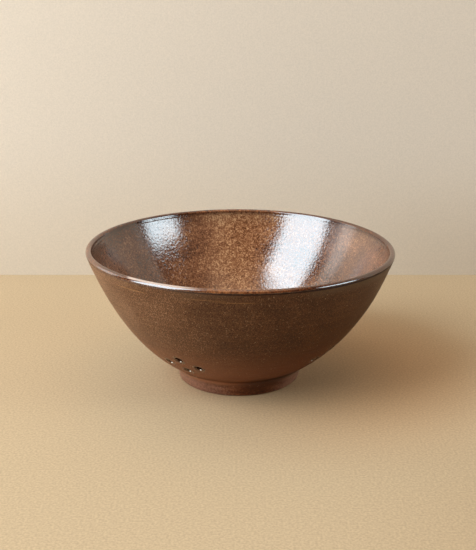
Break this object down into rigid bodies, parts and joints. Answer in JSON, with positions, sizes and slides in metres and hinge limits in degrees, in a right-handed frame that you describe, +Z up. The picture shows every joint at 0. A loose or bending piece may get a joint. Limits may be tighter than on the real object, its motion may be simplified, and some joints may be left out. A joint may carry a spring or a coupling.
{
  "type": "berry bowl",
  "caption": "Hand-thrown stoneware berry bowl on a turned foot ring, with small drain holes low in the wall for rinsing and draining fruit.",
  "frame": {"origin": "centre of the foot ring's standing face, on the surface the bowl stands on", "axes": "+Z up along the bowl's axis, -Y towards the front of the picture, +X to its right"},
  "size_m": [0.191, 0.191, 0.086],
  "materials": {
    "bare_stoneware": "matte",
    "glossy_amber_glaze": "gloss",
    "satin_brown_glaze": "satin",
    "foot_glaze": "satin",
    "drain_glaze": "gloss"
  },
  "bodies": {
    "root": {"bowl_wall": "bare_stoneware", "foot_ring": "bare_stoneware", "inner_glaze": "glossy_amber_glaze", "outer_glaze": "satin_brown_glaze", "foot_glaze": "foot_glaze", "drain_glaze": "drain_glaze"}
  },
  "joints": []
}
